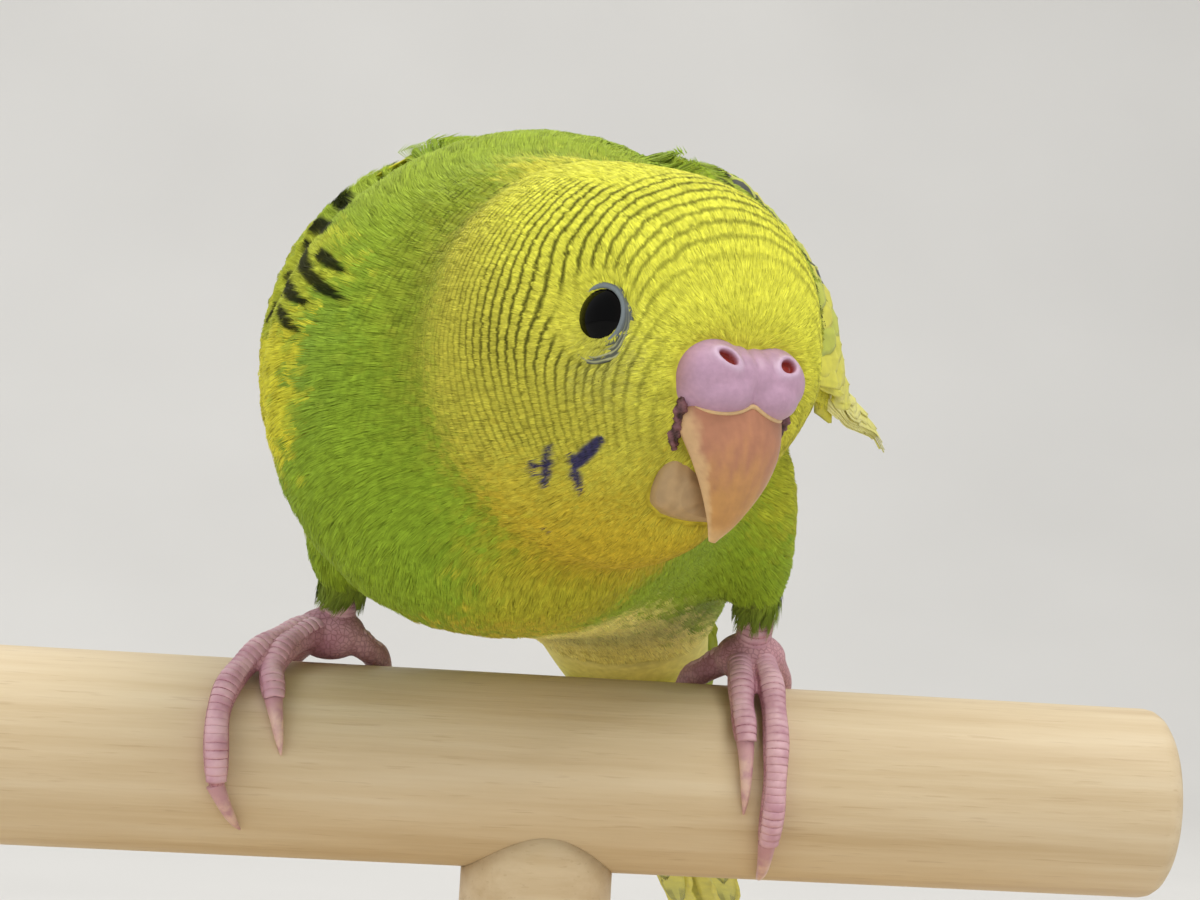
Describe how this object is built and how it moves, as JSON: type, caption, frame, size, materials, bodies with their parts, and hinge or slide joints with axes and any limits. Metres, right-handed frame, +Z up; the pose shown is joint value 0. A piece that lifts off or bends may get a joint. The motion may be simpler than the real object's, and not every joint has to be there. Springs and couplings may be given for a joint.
{
  "type": "budgerigar display model",
  "caption": "Life-size young budgerigar crouched on a round wooden perch, its head turned aside, on a plain display stand.",
  "frame": {"origin": "middle of the base's underside, on the post's axis", "axes": "+Z up; the perch runs along X; the bird leans out over it towards -Y"},
  "size_m": [0.112, 0.1462, 0.0952],
  "materials": {
    "plumage": "soft matt feathers",
    "face": "soft matt feathers",
    "vanes": "smooth feather vanes",
    "cere": "smooth bare skin",
    "bill": "horn with a low gloss",
    "eye": "wet gloss",
    "foot_skin": "scaly skin",
    "claw": "pale horn",
    "wood": "bare sanded wood"
  },
  "bodies": {
    "root": {"torso": "plumage", "neck": "plumage", "head": "face", "cere": "cere", "bill_upper": "bill", "bill_lower": "bill", "eye_left": "eye", "eye_right": "eye", "wing_left": "vanes", "wing_right": "vanes", "tail": "vanes", "thigh_left": "plumage", "thigh_right": "plumage", "foot_left": "foot_skin", "foot_right": "foot_skin", "claw_left_1": "claw", "claw_left_2": "claw", "claw_left_3": "claw", "claw_left_4": "claw", "claw_right_1": "claw", "claw_right_2": "claw", "claw_right_3": "claw", "claw_right_4": "claw", "stand_perch": "wood", "stand_post": "wood", "stand_base": "wood"}
  },
  "joints": []
}
